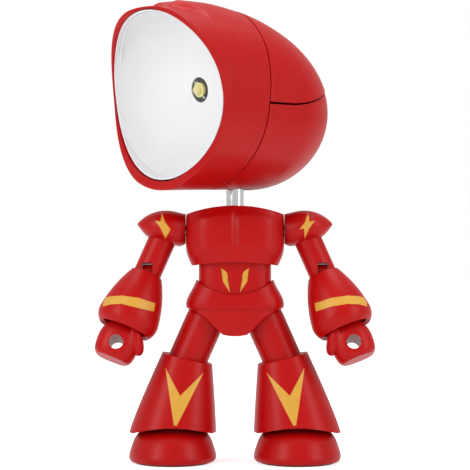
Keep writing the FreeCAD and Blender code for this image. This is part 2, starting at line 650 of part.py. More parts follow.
socket_cut = block(Vector(-socket_clear, size.board_y + size.board_thick,
                          size.socket_z - size.socket_tall / 2 - size.seat_gap),
                   Vector(socket_clear, BIG, size.socket_z + size.socket_tall / 2 + size.seat_gap))
chest = chest.cut(button_bore).cut(socket_cut)
front_side = block(Vector(-BIG, -BIG, 0), Vector(BIG, 0, BIG * 2))
made("chest_front", chest.common(front_side), SET_BACK)
made("chest_back", chest.cut(front_side), SET_BACK)
torso_screws = [Vector(across, 11.4, height) for across, height in torso_screw_spots]
made("torso_screws",
     round_screws(torso_screws, Y, size.screw_radius, size.screw_head_radius, size.screw_head_tall,
                  16.0), SET_BACK)

# Inside the chest: cell, board, switch, button and charging socket.

plate("control_board", "XZ_Plane",
      rectangle("-Sizes.board_half", "Sizes.board_low", "Sizes.board_half", "Sizes.board_high"),
      "Sizes.board_thick",
      SET_BACK.multiply(Placement(Vector(0, size.board_y + size.board_thick, 0), Rotation())))
switch_case = block(Vector(-size.switch_half, size.board_y + size.board_thick,
                           size.switch_z - size.switch_half),
                    Vector(size.switch_half, size.board_y + size.board_thick + size.switch_thick,
                           size.switch_z + size.switch_half))
plunger_start = Vector(0, size.board_y + size.board_thick + size.switch_thick, size.switch_z)
switch = switch_case.fuse(rod(size.plunger_radius, plunger_start,
                              plunger_start + Y * size.plunger_long)).removeSplitter()
made("push_switch", switch, SET_BACK)
BUTTON = SET_BACK.multiply(Placement(Vector(0, 0, size.switch_z), Rotation(X, -90)))
stem_low = ("(Sizes.board_y + Sizes.board_thick + Sizes.switch_thick + Sizes.plunger_long"
            " + Sizes.button_travel + Sizes.run_clear)")
flange_top = "(Sizes.chest_back_deep - Sizes.wall - Sizes.seat_gap)"
button_top = "(Sizes.chest_back_deep + Sizes.button_proud)"
turned("power_button", [
    ("0", stem_low), ("Sizes.plunger_radius", stem_low),
    ("Sizes.plunger_radius", flange_top + " - Sizes.button_flange"),
    ("Sizes.button_flange_radius", flange_top + " - Sizes.button_flange"),
    ("Sizes.button_flange_radius", flange_top),
    ("Sizes.button_radius", flange_top), ("Sizes.button_radius", button_top + " - 0.5"),
    ("Sizes.button_radius - 0.5", button_top), ("0", button_top)], BUTTON)
socket_low = Vector(-size.socket_half, size.board_y + size.board_thick,
                    size.socket_z - size.socket_tall / 2)
socket_high = Vector(size.socket_half, size.chest_back_deep - 2.6, size.socket_z + size.socket_tall / 2)
socket_inside = block(socket_low + Vector(size.socket_wall, 1.5, size.socket_wall),
                      socket_high + Vector(-size.socket_wall, 5, -size.socket_wall))
made("charging_socket", block(socket_low, socket_high).cut(socket_inside), SET_BACK)
plate("battery_cell", "XZ_Plane",
      rectangle("-Sizes.cell_half", "Sizes.cell_low", "Sizes.cell_half", "Sizes.cell_high"),
      "Sizes.cell_thick", SET_BACK.multiply(Placement(Vector(0, size.cell_back, 0), Rotation())))
pad_back = size.cell_back - size.cell_thick
pad = block(Vector(-size.pad_half, -BIG, size.cell_low + 2),
            Vector(size.pad_half, pad_back, size.cell_high - 2))
made("battery_pad", pad.common(chest_solid(size.wall + 0.1)), SET_BACK)

# Abdomen and pelvis

waist_rings = [level_ring(0, 0, height, size.waist_half, size.waist_deep, size.waist_deep,
                          size.waist_power)
               for height in (size.waist_low, 92, 98, 110)]
waist_inner = [level_ring(0, 0, height, size.waist_half - size.wall, size.waist_deep - size.wall,
                          size.waist_deep - size.wall, size.waist_power) for height in (80, 92, 98, 112)]
waist_outside = loft(waist_rings)
under_arch = prism(arch(size.chest_half, size.chest_low, size.chest_low + size.chest_arch, BIG), BIG)
abdomen = waist_outside.cut(loft(waist_inner)).cut(under_arch)
made("abdomen", abdomen, SET_BACK)

def pelvis_loft(levels):
    return loft([level_ring(0, 0, height, half, deep, deep - 1, 3.0) for height, half, deep in levels])


belt_z = size.pelvis_wide_z - 1.5
belt = pelvis_loft([(belt_z, size.pelvis_half - 0.2, size.pelvis_deep),
                    (size.pelvis_wide_z + 1.5, size.pelvis_half, size.pelvis_deep),
                    (89, 24.0, 16.2), (94, 21.3, 15.6), (100, 19.6, 15.0)])
brief = pelvis_loft([(62, 23.6, 14.0), (72, 24.2, 15.0), (belt_z, 24.6, size.pelvis_deep - 0.8)])
pelvis = belt.fuse(brief)
top_cut = prism([Vector(-40, 0, 104.0), Vector(-size.pelvis_top_half, 0, size.pelvis_side_z),
                 (Vector(0, 0, size.pelvis_dip_z), Vector(size.pelvis_top_half, 0, size.pelvis_side_z)),
                 Vector(40, 0, 104.0), Vector(40, 0, BIG), Vector(-40, 0, BIG)], BIG)
side_points = [Vector(0, 0, size.crotch_z - 20), Vector(size.crotch_half, 0, size.crotch_z - 20),
               Vector(size.crotch_half, 0, size.crotch_z + 0.8), Vector(10.5, 0, 71.8),
               Vector(15.5, 0, 77.0),
               Vector(21, 0, 80.2), Vector(40, 0, 81.4), Vector(40, 0, -BIG), Vector(0, 0, -BIG)]
pelvis = pelvis.cut(top_cut)
for side in (-1, 1):
    legs_out = [Vector(point.x * side, 0, point.z) for point in side_points[1:-1]]
    pelvis = pelvis.cut(prism(legs_out, BIG))
crotch_cut = prism([Vector(-size.crotch_half, 0, size.crotch_z + 0.8),
                    (Vector(0, 0, size.crotch_z), Vector(size.crotch_half, 0, size.crotch_z + 0.8)),
                    Vector(size.crotch_half, 0, 40), Vector(-size.crotch_half, 0, 40)], BIG)
pelvis = pelvis.cut(crotch_cut).cut(waist_outside)
cavity = block(Vector(-size.pelvis_cavity, -size.waist_deep + 2.5, 74),
               Vector(size.pelvis_cavity, size.waist_deep - 2.5, size.waist_low))
pelvis = pelvis.cut(cavity.cut(rod(4.0, Vector(-9, 0, size.hip_z), Vector(9, 0, size.hip_z))))


def leg_frame(side, pitch=0.0):
    """Hip frame: its own -Z runs down the thigh, leaning out to one side."""
    lean = Rotation(Y, -side * size.leg_lean)
    return Placement(Vector(side * size.hip_out, 0, size.hip_z), Rotation(X, pitch).multiply(lean))


for side in (-1, 1):
    pelvis = pelvis.cut(Part.makeSphere(size.hip_ball + size.loose_clear,
                                        Vector(side * size.hip_out, 0, size.hip_z)))
    pitch = -size.hip_forward
    while pitch <= size.hip_backward + 0.01:
        sweep = Part.makeCylinder(size.thigh_radius + size.loose_clear, 40, Vector(0, 0, -40))
        sweep.Placement = leg_frame(side, pitch)
        pelvis = pelvis.cut(sweep)
        pitch += 10.0
pelvis = pelvis.cut(rod(size.hip_axle_radius, Vector(-BIG, 0, size.hip_z), Vector(BIG, 0, size.hip_z)))
pelvis = pelvis.cut(rod(size.screw_radius, Vector(0, -8, size.pelvis_screw_z),
                        Vector(0, BIG, size.pelvis_screw_z)))
pelvis = pelvis.cut(rod(size.screw_head_radius, Vector(0, 9.0, size.pelvis_screw_z),
                        Vector(0, BIG, size.pelvis_screw_z)))
made("pelvis_front", pelvis.common(front_side), SET_BACK)
made("pelvis_back", pelvis.cut(front_side), SET_BACK)
made("pelvis_screw",
     round_screws([Vector(0, 9.0, size.pelvis_screw_z)], Y, size.screw_radius, size.screw_head_radius,
     size.screw_head_tall, 16.0), SET_BACK)
pin("hip_axle", "Sizes.hip_axle_radius", "-Sizes.hip_axle_half - 8", "Sizes.hip_axle_half + 8",
    SET_BACK.multiply(Placement(Vector(0, 0, size.hip_z), Rotation(Y, 90))))

# Legs


def boot_solid(side, inset, low_z):
    rings = []
    for share in (0.0, 0.12, 0.3, 0.5, 0.7, 0.85, 1.0):
        height = low_z + (size.boot_top_z + 4.0 - low_z) * share
        rise = max(0.0, (height - size.boot_low_z) / (size.boot_top_z + 4.0 - size.boot_low_z))
        half = size.boot_low_half + (size.boot_top_half - size.boot_low_half) * rise ** 1.12 - inset
        out = size.boot_low_out + (size.boot_top_out - size.boot_low_out) * rise ** 1.1
        deep = size.boot_low_deep + (size.boot_top_deep - size.boot_low_deep) * rise ** 1.1 - inset
        rings.append(level_ring(side * out, 0, height, half, deep, deep, size.boot_power))
    return loft(rings)


def slope_above(side, middle_out, middle_z, slope):
    """Space above a plane that rises outwards."""
    rise = math.tan(math.radians(slope))
    near = Vector(side * (middle_out - 40), 0, middle_z - 40 * rise)
    far = Vector(side * (middle_out + 40), 0, middle_z + 40 * rise)
    return prism([near, far, Vector(far.x, 0, BIG), Vector(near.x, 0, BIG)], BIG)


def leg(side, name):
    frame = leg_frame(side)
    ball = Part.makeSphere(size.hip_ball)
    thigh = ball.fuse(Part.makeCylinder(size.thigh_radius, size.thigh_long,
                                        Vector(0, 0, -size.thigh_long))).removeSplitter()
    thigh.Placement = frame
    bore = size.hip_axle_radius + size.run_clear
    end = Vector(side * (size.hip_axle_half + 8.4), 0, size.hip_z)
    thigh = thigh.cut(rod(bore, Vector(0, 0, size.hip_z), end))
    made(name + "_thigh", thigh, SET_BACK)

    boot_slope = slope_above(side, size.boot_top_out, size.boot_top_z, size.boot_top_slope)
    boot = boot_solid(side, 0.0, size.boot_low_z).cut(boot_slope)
    hollow = boot_solid(side, size.wall, size.boot_low_z - 6)
    hollow = hollow.cut(block(Vector(-BIG, -BIG, size.boot_floor), Vector(BIG, BIG, BIG)))
    boot = boot.cut(hollow)
    thigh_seat = Part.makeCylinder(size.thigh_radius, size.thigh_long, Vector(0, 0, -size.thigh_long))
    thigh_seat.Placement = frame
    boot = boot.cut(thigh_seat)
    arch_radius = 60.0
    arch_centre = Vector(side * size.boot_low_out, -BIG, size.boot_low_z + size.boot_arch - arch_radius)
    boot = boot.cut(Part.makeCylinder(arch_radius, BIG, arch_centre, Y))
    peg_top = size.boot_floor + 3.0
    boot_peg = rod(size.ankle_radius, Vector(side * size.foot_out, 0, 10),
                   Vector(side * (size.foot_out - 4), 0, peg_top))
    boot = boot.cut(boot_peg)
    made(name + "_boot", boot, SET_BACK)

    rings = []
    for height, share in ((size.sole_proud, 0.955), (2.6, 1.0), (5.5, 0.985), (9.2, 0.935), (13.5, 0.85),
                          (16.8, 0.7), (size.foot_top, 0.45)):
        rings.append(level_ring(side * size.foot_out, 0, height, size.foot_half * share,
                                size.foot_long * share,
                                size.foot_long * share, 2.1))
    foot = loft(rings)
    sole_half = size.foot_half - size.sole_inset
    sole_long = size.foot_long - size.sole_inset
    sole = loft([level_ring(side * size.foot_out, 0, height, sole_half, sole_long, sole_long,
                            2.1) for height in (0, size.sole_thick)])
    foot = foot.cut(sole).cut(boot_peg)
    made(name + "_foot", foot, SET_BACK)
    made(name + "_sole", sole, SET_BACK)
    made(name + "_ankle_post", boot_peg, SET_BACK)


leg(-1, "right")
leg(1, "left")

# Arms


def arm_frame(side):
    """Shoulder frame: its own -Z runs down the upper arm."""
    turn = Rotation(X, -size.arm_forward).multiply(Rotation(Y, -side * size.arm_lean))
    return Placement(Vector(side * size.shoulder_out, 0, size.shoulder_z), turn)


def forearm_frame(side):
    """Elbow frame: its own -Z runs down the forearm."""
    elbow = arm_frame(side).multVec(Vector(0, 0, -size.arm_long))
    turn = Rotation(X, -size.forearm_forward).multiply(Rotation(Y, -side * size.forearm_lean))
    return Placement(elbow, turn)


def upright_ring(out, middle_z, half_tall, half_deep, power=2.2):
    return curve_ring(Vector(out, 0, middle_z), Y, Z, half_deep, half_deep, half_tall, half_tall, power)


def hinge_rod(frame, radius, half):
    """A round solid along X through a joint's centre."""
    centre = frame.Base
    return rod(radius, centre - X * half, centre + X * half)


def in_frame(shape, frame):
    shape.Placement = frame
    return shape


def arm(side, name):
    upper = arm_frame(side)
    lower = forearm_frame(side)
    inner_out = size.chest_half + size.pad_gap
    pad = loft([
        upright_ring(side * inner_out, 123.3, size.pad_inner_half, 9.8),
        upright_ring(side * 31.0, 123.2, 9.0, 11.8),
        upright_ring(side * 38.4, 124.55, size.pad_top_z - 124.55, size.pad_deep),
        upright_ring(side * 45.5, 124.75, 6.1, 9.8),
        upright_ring(side * 49.5, 125.3, 2.9, 5.6),
        upright_ring(side * size.pad_tip_out, size.pad_tip_z, 0.7, 2.2)])
    shaft = in_frame(Part.makeCylinder(size.arm_radius, 40, Vector(0, 0, -40)), upper)
    knob = Part.makeSphere(size.arm_radius, upper.Base)
    axle = rod(size.shoulder_axle_radius, Vector(side * size.shoulder_axle_in, 0, size.shoulder_z),
               Vector(side * size.shoulder_out, 0, size.shoulder_z))
    washer_out = Vector(side * (size.chest_half - size.wall - size.seat_gap - 0.4), 0, size.shoulder_z)
    axle_head = rod(size.shoulder_axle_head, Vector(side * size.shoulder_axle_in, 0, size.shoulder_z),
                    washer_out)
    made(name + "_shoulder_pad", pad.cut(shaft).cut(knob).cut(axle), SET_BACK)
    made(name + "_shoulder_axle", axle.fuse(axle_head).removeSplitter(), SET_BACK)

    limb = Part.makeCylinder(size.arm_radius, size.arm_long, Vector(0, 0, -size.arm_long))
    limb = in_frame(limb, upper).fuse(knob)
    elbow = lower.Base
    limb = limb.fuse(Part.makeSphere(size.arm_radius, elbow)).removeSplitter()
    slot_half = size.tongue_half + size.loose_clear
    slot_top = size.tongue_radius + size.loose_clear
    slot = block(Vector(-slot_half, -BIG / 4, -BIG / 4), Vector(slot_half, BIG / 4, slot_top))
    slot.Placement = Placement(elbow, Rotation(X, -size.arm_forward))
    limb = limb.cut(slot).cut(axle)
    limb = limb.cut(hinge_rod(lower, size.elbow_pin_radius, size.elbow_pin_half))
    made(name + "_upper_arm", limb, SET_BACK)
    made(name + "_elbow_pin", hinge_rod(lower, size.elbow_pin_radius, size.elbow_pin_half), SET_BACK)

    start_at = size.gauntlet_start
    wide_at, long = size.gauntlet_wide_at, size.gauntlet_long
    cup = size.elbow_cup
    low = Vector(size.gauntlet_top_radius, 0, -start_at)
    bulge = Vector(size.gauntlet_top_radius + (size.gauntlet_radius - size.gauntlet_top_radius) * 0.66,
                   0, -wide_at * 0.52)
    widest = Vector(size.gauntlet_radius, 0, -wide_at)
    rim_turn = Vector(size.gauntlet_radius - 0.5, 0, -(long - 3.4))
    rim_end = Vector(size.gauntlet_radius - size.gauntlet_rim, 0, -long)
    lip = Vector(size.gauntlet_radius - size.gauntlet_rim - 1.6, 0, -(long - 1.4))
    recess_low = Vector(size.gauntlet_radius - size.gauntlet_rim - 2.0, 0, -(long - size.gauntlet_recess))
    floor = Vector(0, 0, -(long - size.gauntlet_recess))
    top = Vector(0, 0, -start_at)
    face = Part.Face(Part.Wire([
        Part.LineSegment(top, low).toShape(), Part.Arc(low, bulge, widest).toShape(),
        Part.Arc(widest, rim_turn, rim_end).toShape(), Part.LineSegment(rim_end, lip).toShape(),
        Part.LineSegment(lip, recess_low).toShape(), Part.LineSegment(recess_low, floor).toShape(),
        Part.LineSegment(floor, top).toShape()]))
    gauntlet = face.revolve(Vector(), Z, 360)
    mouth_cone = Part.makeCone(size.elbow_cup + 0.45, size.elbow_cup - 1.2, 4.2, Vector(0, 0, -start_at),
                               Z * -1)
    tongue = Part.makeCylinder(size.tongue_radius, 2 * size.tongue_half,
                               Vector(-size.tongue_half, 0, 0), X)
    tongue = tongue.fuse(block(Vector(-size.tongue_half, -3.2, -cup - 1),
                               Vector(size.tongue_half, 3.2, 0)))
    tongue = tongue.transformed(Rotation(Y, side * size.forearm_lean).toMatrix())
    gauntlet = gauntlet.cut(Part.makeSphere(cup)).cut(mouth_cone).fuse(tongue)
    gauntlet = gauntlet.cut(Part.makeCylinder(size.wrist_peg_radius + size.run_clear, 40,
                                              Vector(0, 0, -size.wrist_peg_in), Z * -1))
    gauntlet = gauntlet.removeSplitter()
    gauntlet.Placement = lower
    gauntlet = gauntlet.cut(hinge_rod(lower, size.elbow_pin_radius + size.run_clear, 20))
    made(name + "_gauntlet", gauntlet, SET_BACK)

    rings = []
    floor_at = long - size.gauntlet_recess + size.loose_clear
    fist_levels = ((floor_at, size.wrist_radius, size.wrist_radius), (30, 7.5, 7.5), (34, 9.6, 9.4),
                   (38, size.fist_half, size.fist_deep), (44, size.fist_half, size.fist_deep),
                   (48.2, 10.0, 9.4), (size.fist_end, 8.2, 7.8))
    for along, half, deep in fist_levels:
        rings.append(curve_ring(Vector(0, 0, -along), X, Y, half, half, deep, deep, 2.5))
    fist = loft(rings)
    peg_start = size.wrist_peg_in + size.loose_clear
    peg_hole = Part.makeCylinder(size.wrist_peg_radius, floor_at + 4 - peg_start,
                                 Vector(0, 0, -peg_start), Z * -1)
    grip = Part.makeCylinder(size.grip_radius, 60, Vector(0, -30, -size.fist_at - 1.2), Y)
    fist = fist.cut(grip).cut(peg_hole)
    made(name + "_fist", fist, SET_BACK.multiply(lower))
    made(name + "_wrist_peg", peg_hole, SET_BACK.multiply(lower))


arm(-1, "right")
arm(1, "left")

doc.recompute()

# Checks, then one STEP file for each piece

for item in doc.Objects:
    for word in ("Invalid", "Error"):
        if word in item.State:
            raise RuntimeError("%s is %s" % (item.Label, item.State))
for piece in kept:
    if piece.Shape.isNull() or not piece.Shape.isValid():
        raise RuntimeError("%s has no valid shape" % piece.Label)

os.makedirs("parts", exist_ok=True)
for piece in kept:
    piece.Shape.exportStep("parts/%s.step" % piece.Label)
    print("%-24s %9.1f mm3  %d solids" % (piece.Label, piece.Shape.Volume, len(piece.Shape.Solids)))
print(len(kept), "pieces")
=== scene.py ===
import json
import math

import bmesh
import bpy
from mathutils import Matrix, Vector
from mathutils.bvhtree import BVHTree


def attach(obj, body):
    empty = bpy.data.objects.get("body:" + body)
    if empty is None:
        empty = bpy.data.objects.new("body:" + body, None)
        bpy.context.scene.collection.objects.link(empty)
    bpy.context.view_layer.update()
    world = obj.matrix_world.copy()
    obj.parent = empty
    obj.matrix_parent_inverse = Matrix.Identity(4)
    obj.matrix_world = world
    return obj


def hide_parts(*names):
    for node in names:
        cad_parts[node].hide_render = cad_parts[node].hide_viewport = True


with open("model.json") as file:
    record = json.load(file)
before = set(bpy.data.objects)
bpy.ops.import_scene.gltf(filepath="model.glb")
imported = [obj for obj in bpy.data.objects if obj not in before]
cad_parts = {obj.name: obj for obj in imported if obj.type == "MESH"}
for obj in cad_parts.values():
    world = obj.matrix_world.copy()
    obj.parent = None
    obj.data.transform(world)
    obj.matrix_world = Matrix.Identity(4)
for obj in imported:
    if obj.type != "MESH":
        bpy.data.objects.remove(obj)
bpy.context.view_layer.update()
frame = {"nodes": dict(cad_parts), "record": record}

# Sizes in metres. The lamp's neck axis and the photograph's viewpoint come first.

MM = 0.001
NECK = Vector((0, 7 * MM, 0))
HEAD_YAW = math.radians(48.7)
CAMERA_AWAY = 1.0
CAMERA_HIGH = 0.120
PHOTO_PIXELS = 470
NECK_PIXEL_X = 234.5
MIDDLE_PIXEL_Y = 235.0
METRES_PER_PIXEL = 0.53 * MM
SENSOR_MM = 36.0


# Shader expressions

OBJECT_OUTPUT = 3
MIX_FACTOR, MIX_LOW, MIX_HIGH, MIX_COLOUR = 0, 6, 7, 2


class Shade:
    """A socket whose Python operators add Math nodes."""

    def __init__(self, tree, socket):
        self.tree = tree
        self.socket = socket

    def math(self, operation, *others):
        sockets = dict(enumerate([self, *others]))
        return add(self.tree, "ShaderNodeMath", {"operation": operation}, sockets)

    def __add__(self, other):
        return self.math("ADD", other)

    __radd__ = __add__

    def __mul__(self, other):
        return self.math("MULTIPLY", other)

    __rmul__ = __mul__


def add(tree, kind, settings=None, inputs=None, output=0):
    """Adds one node: its settings first, then values or links of its sockets."""
    node = tree.nodes.new(kind)
    for name, value in (settings or {}).items():
        setattr(node, name, value)
    for name, value in (inputs or {}).items():
        if isinstance(value, Shade):
            tree.links.new(value.socket, node.inputs[name])
        else:
            node.inputs[name].default_value = value
    return Shade(tree, node.outputs[output])


def tone(red, green, blue):
    return (red, green, blue, 1.0)


def finish(name, constants, surface=None):
    """A material: constants sit on the shader, and surface(tree, place) gives what varies."""
    material = bpy.data.materials.new(name)
    material.use_nodes = True
    tree = material.node_tree
    shader = tree.nodes["Principled BSDF"]
    for socket, value in constants.items():
        shader.inputs[socket].default_value = value
    if surface:
        place = add(tree, "ShaderNodeTexCoord", output=OBJECT_OUTPUT)
        for socket, value in surface(tree, place).items():
            tree.links.new(value.socket, shader.inputs[socket])
    return material


def grain(tree, place, scale, detail=2.0, roughness=0.5):
    inputs = {"Vector": place, "Scale": scale, "Detail": detail, "Roughness": roughness}
    return add(tree, "ShaderNodeTexNoise", {}, inputs)


def bump(tree, height, strength, distance):
    inputs = {"Height": height, "Strength": strength, "Distance": distance}
    return add(tree, "ShaderNodeBump", {}, inputs)


def blend_tones(tree, factor, low, high):
    inputs = {MIX_FACTOR: factor, MIX_LOW: low, MIX_HIGH: high}
    return add(tree, "ShaderNodeMix", {"data_type": "RGBA"}, inputs, output=MIX_COLOUR)


def moulded_red(tree, place):
    """Satin moulded plastic: faint flow tone, soft skin texture and handling marks."""
    flow = grain(tree, place, 22.0, 3.0)
    marks = grain(tree, place, 260.0, 4.0, 0.6)
    skin = grain(tree, place, 1900.0, 1.0)
    deep, bright = tone(0.45, 0.0018, 0.0020), tone(0.53, 0.0036, 0.0038)
    return {
        "Base Color": blend_tones(tree, flow * 0.5 + marks * 0.25, deep, bright),
        "Roughness": 0.30 + marks * 0.10 + flow * 0.05,
        "Normal": bump(tree, skin * 0.7 + marks * 0.3, 0.10, 0.00008),
    }


def matte_white(tree, place):
    dust = grain(tree, place, 60.0, 3.0)
    skin = grain(tree, place, 2400.0, 1.0)
    return {
        "Base Color": blend_tones(tree, dust, tone(0.80, 0.80, 0.82), tone(0.86, 0.86, 0.87)),
        "Roughness": 0.55 + dust * 0.12,
        "Normal": bump(tree, skin, 0.08, 0.00006),
    }


def printed_gold(tree, place):
    ink = grain(tree, place, 500.0, 3.0)
    return {
        "Base Color": blend_tones(tree, ink, tone(0.66, 0.33, 0.035), tone(0.78, 0.42, 0.055)),
        "Roughness": 0.38 + ink * 0.15,
        "Normal": bump(tree, ink, 0.08, 0.00004),
    }


def polished(tree, place):
    wipe = grain(tree, place, 420.0, 3.0)
    return {"Roughness": 0.05 + wipe * 0.07, "Normal": bump(tree, wipe, 0.02, 0.00003)}


def brushed(tree, place):
    lines = grain(tree, place, 700.0, 2.0)
    return {"Roughness": 0.28 + lines * 0.15, "Normal": bump(tree, lines, 0.1, 0.00004)}


def speckled(dark, light, scale, rough):
    """A finish whose tone and roughness wander a little in fine spots."""
    def surface(tree, place):
        spots = grain(tree, place, scale, 3.0)
        return {
            "Base Color": blend_tones(tree, spots, dark, light),
            "Roughness": rough + spots * 0.1,
            "Normal": bump(tree, spots, 0.12, 0.00005),
        }
    return surface


RED = finish("red_plastic_skin", {"Specular IOR Level": 0.24, "IOR": 1.45}, moulded_red)
WHITE = finish("white_reflector_skin", {"IOR": 1.46}, matte_white)
GOLD = finish("gold_print", {"IOR": 1.45}, printed_gold)
CHROME = finish("bright_chrome_plate", {"Base Color": tone(0.80, 0.80, 0.81), "Metallic": 1.0}, polished)
STEEL = finish("zinc_steel", {"Base Color": tone(0.55, 0.55, 0.55), "Metallic": 1.0}, brushed)
ALUMINIUM = finish("cast_aluminium_skin", {"Base Color": tone(0.60, 0.61, 0.63), "Metallic": 1.0},
                   brushed)
BOARD = finish("solder_mask", {},
               speckled(tone(0.03, 0.035, 0.03), tone(0.06, 0.07, 0.06), 900.0, 0.35))
PHOSPHOR = finish("lamp_phosphor", {"Coat Weight": 0.8, "Coat Roughness": 0.05},
                  speckled(tone(0.72, 0.62, 0.22), tone(0.86, 0.78, 0.36), 900.0, 0.25))
SLEEVE = finish("lead_sleeve_skin", {},
                speckled(tone(0.02, 0.02, 0.02), tone(0.05, 0.05, 0.05), 800.0, 0.45))
NYLON = finish("nylon_skin", {},
               speckled(tone(0.66, 0.64, 0.58), tone(0.74, 0.72, 0.66), 500.0, 0.45))
BLACK = finish("black_moulding", {},
               speckled(tone(0.012, 0.012, 0.012), tone(0.03, 0.03, 0.03), 1500.0, 0.45))
WRAP = finish("cell_wrap_skin", {"Coat Weight": 0.4},
              speckled(tone(0.06, 0.17, 0.30), tone(0.08, 0.21, 0.36), 300.0, 0.3))
FOAM = finish("foam_skin", {},
              speckled(tone(0.03, 0.03, 0.03), tone(0.09, 0.09, 0.09), 1800.0, 0.8))
RUBBER = finish("sole_rubber_skin", {},
                speckled(tone(0.03, 0.03, 0.03), tone(0.06, 0.055, 0.055), 1200.0, 0.7))

FINISH_OF_SLOT = {
    "red_plastic": RED, "white_plastic": WHITE, "bright_chrome": CHROME, "steel": STEEL,
    "cast_aluminium": ALUMINIUM, "circuit_board": BOARD, "lamp_yellow": PHOSPHOR,
    "lead_sleeve": SLEEVE, "natural_nylon": NYLON, "black_plastic": BLACK, "cell_wrap": WRAP,
    "foam_rubber": FOAM, "sole_rubber": RUBBER,
}

for entry in frame["record"]["subparts"]:
    node = frame["nodes"][entry["node"]]
    node.data.materials.clear()
    node.data.materials.append(FINISH_OF_SLOT[entry["material_slot"]])


# Making pieces

def mesh_object(name, shape, material):
    """Turns a bmesh into an object of the scene."""
    mesh = bpy.data.meshes.new(name)
    shape.to_mesh(mesh)
    shape.free()
    mesh.materials.append(material)
    made = bpy.data.objects.new(name, mesh)
    bpy.context.scene.collection.objects.link(made)
    return made


def piece(name, shape, material, body, smooth_angle):
    """A piece that rides on a body, smooth but for its sharp edges."""
    made = mesh_object(name, shape, material)
    mesh = made.data
    for face in mesh.polygons:
        face.use_smooth = True
    mesh.set_sharp_from_angle(angle=math.radians(smooth_angle))
    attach(made, body)
    return made


def tree_of(*names):
    """A search tree of CAD nodes' surfaces, all in the shared frame."""
    corners = []
    faces = []
    for name in names:
        mesh = frame["nodes"][name].data
        first = len(corners)
        corners += [corner.co.copy() for corner in mesh.vertices]
        faces += [[first + index for index in face.vertices] for face in mesh.polygons]
    return BVHTree.FromPolygons(corners, faces)


PRINT_THICK = 0.07 * MM
PRINT_SEAT = 0.02 * MM
PRINT_STEP = 0.8 * MM
PRINT_SPLITS = 6
FRONTWARD = Vector((0, 1, 0))
FRONT_PLANE_Y = -60 * MM


def thickened(shape, way):
    """Closes a skin into a thin solid by raising a copy of it along a way."""
    grown = bmesh.ops.extrude_face_region(shape, geom=shape.faces[:])
    raised = [item for item in grown["geom"] if isinstance(item, bmesh.types.BMVert)]
    bmesh.ops.translate(shape, verts=raised, vec=way)
    bmesh.ops.recalc_face_normals(shape, faces=shape.faces[:])
    return shape


def printed(name, outline, body, node_name):
    """A thin print: an outline in the front view, laid onto the front of a node."""
    shape = bmesh.new()
    corners = [shape.verts.new((x * MM, FRONT_PLANE_Y, z * MM)) for x, z in outline]
    shape.faces.new(corners)
    bmesh.ops.triangulate(shape, faces=shape.faces[:])
    for _ in range(PRINT_SPLITS):
        long_edges = [edge for edge in shape.edges if edge.calc_length() > PRINT_STEP]
        if not long_edges:
            break
        bmesh.ops.subdivide_edges(shape, edges=long_edges, cuts=1)
        bmesh.ops.triangulate(shape, faces=shape.faces[:])
    surface = tree_of(node_name)
    beyond = []
    for corner in shape.verts:
        spot = surface.ray_cast(corner.co, FRONTWARD)[0]
        if spot is None:
            beyond.append(corner)
        else:
            corner.co = spot - FRONTWARD * PRINT_SEAT
    bmesh.ops.delete(shape, geom=beyond, context="VERTS")
    bmesh.ops.recalc_face_normals(shape, faces=shape.faces[:])
    outward = sum((face.normal for face in shape.faces), Vector())
    if outward.dot(FRONTWARD) > 0:
        bmesh.ops.reverse_faces(shape, faces=shape.faces[:])
    thickened(shape, -FRONTWARD * PRINT_THICK)
    return piece(name, shape, GOLD, body, 60.0)


def from_pixels(pixels):
    """Millimetres across and above the floor for pixels of the photograph."""
    scale = METRES_PER_PIXEL / MM
    high = CAMERA_HIGH / MM
    return [((x - NECK_PIXEL_X) * scale, high + (MIDDLE_PIXEL_Y - y) * scale) for x, y in pixels]


def for_side(outline, side):
    """The outline itself on the photograph's left, and mirrored on its right."""
    return outline if side == 1 else [(-x, z) for x, z in reversed(outline)]


SHOULDER_BOLT = from_pixels([(162.0, 212.8), (165.6, 222.6), (171.0, 229.6), (166.2, 228.6),
                             (165.6, 238.6), (161.0, 228.2), (155.4, 220.7), (160.8, 221.8)])
BELLY_BOLT = from_pixels([(220.8, 267.6), (226.2, 271.6), (227.6, 276.2), (225.2, 279.0),
                          (229.6, 291.6), (222.4, 280.4), (224.4, 276.4)])
CHEVRON = from_pixels([(165.9, 365.9), (180.7, 392.7), (203.7, 370.7), (177.6, 421.4),
                       (174.8, 421.0)])
BAND = from_pixels([(105.0, 297.2), (113.0, 295.0), (124.0, 294.2), (140.0, 296.4), (156.4, 302.2),
                    (155.0, 310.0), (140.0, 304.6), (124.0, 302.2), (113.0, 302.8), (104.6, 305.2)])

for side, word in ((1, "right"), (-1, "left")):
    for kind, outline, body, node_name in (
            ("shoulder_bolt", SHOULDER_BOLT, word + "_arm", word + "_shoulder_pad"),
            ("belly_bolt", BELLY_BOLT, "torso", "abdomen"),
            ("boot_chevron", CHEVRON, word + "_leg", word + "_boot"),
            ("gauntlet_band", BAND, word + "_forearm", word + "_gauntlet")):
        printed(word + "_" + kind, for_side(outline, side), body, node_name)


# Head shells, made over the CAD shells from the same sizes. Lengths here are millimetres
# forward of the neck axis, towards the near side, and above the floor.

HEAD_MID_Z = 184.7
HEAD_HALF = 43.6
HEAD_FLARE = 1.7
HEAD_TAIL = 51.7
HEAD_WIDE_BACK = 9.4
HEAD_FRONT = 64.0
HEAD_TOP = 51.4
HEAD_BOTTOM = 40.8
HEAD_TOP_START = 8.7
HEAD_WALL = 1.8
EDGE_ROUNDS = 6
MOUTH_FORWARD = 55.8
MOUTH_Z = 191.3
MOUTH_RADIUS = 43.6
MOUTH_DIP = 9.4
MOUTH_LEAN = math.radians(8.0)
SEAM_FORWARD = 12.5
SEAM_Z = 200.0
SEAM_LEAN = math.radians(8.0)
SEAM_GAP = 0.3
CROWN_Z = 186.6

